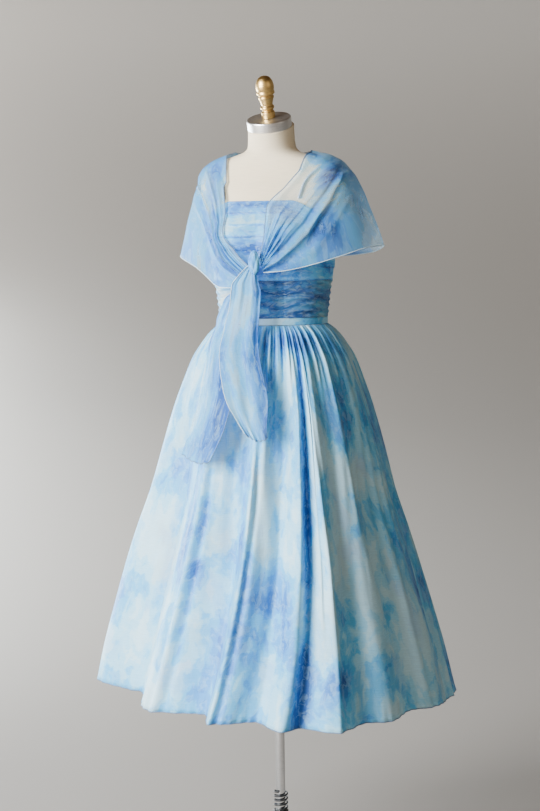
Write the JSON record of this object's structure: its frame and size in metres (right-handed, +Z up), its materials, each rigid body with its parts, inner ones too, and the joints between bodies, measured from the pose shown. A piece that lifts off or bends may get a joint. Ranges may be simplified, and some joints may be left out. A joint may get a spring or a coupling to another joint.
{
  "type": "homecoming dress on a dress form",
  "caption": "Tea-length strapless dress with a ruched midriff, a full gathered skirt and a tied sheer stole, on a limbless dress form with a pole stand.",
  "frame": {"origin": "centre of the stand's underside, on the axis of the pole", "axes": "+Z up along the pole, -Y the way the dress faces, +X the wearer's left"},
  "size_m": [0.7689, 0.7476, 1.7262],
  "materials": {
    "form_torso": "cream linen, drawn smooth over the form",
    "form_neck_cap": "brushed round its axis",
    "form_finial": "turned, slightly tarnished",
    "stand_base": "black paint",
    "stand_column": "black paint",
    "stand_pole": "polished",
    "stand_spring": "black paint",
    "skirt_front": "crisp sheer cloth over a plain one, printed with soft blue and white clouds",
    "skirt_back": "crisp sheer cloth over a plain one, printed with soft blue and white clouds",
    "waistband_front": "the same cloth, folded flat",
    "waistband_back": "the same cloth, folded flat",
    "midriff_front": "the same cloth, ruched",
    "midriff_back": "the same cloth, ruched",
    "bodice_front": "the same cloth, laid in tucks",
    "bodice_back": "the same cloth, laid in tucks",
    "strap_left": "rolled cloth",
    "strap_right": "rolled cloth",
    "stole_back": "one layer of the sheer printed cloth",
    "stole_left": "one layer of the sheer printed cloth",
    "stole_right": "one layer of the sheer printed cloth",
    "stole_knot": "the same cloth, knotted",
    "stole_tail_short": "the sheer printed cloth in loose pleats",
    "stole_tail_long": "the sheer printed cloth in loose pleats"
  },
  "bodies": {
    "root": {"form_torso": "form_torso", "form_neck_cap": "form_neck_cap", "form_finial": "form_finial", "stand_base": "stand_base", "stand_column": "stand_column", "stand_pole": "stand_pole", "stand_spring": "stand_spring", "skirt_front": "skirt_front", "skirt_back": "skirt_back", "waistband_front": "waistband_front", "waistband_back": "waistband_back", "midriff_front": "midriff_front", "midriff_back": "midriff_back", "bodice_front": "bodice_front", "bodice_back": "bodice_back", "strap_left": "strap_left", "strap_right": "strap_right", "stole_back": "stole_back", "stole_left": "stole_left", "stole_right": "stole_right", "stole_knot": "stole_knot", "stole_tail_short": "stole_tail_short", "stole_tail_long": "stole_tail_long"}
  },
  "joints": []
}
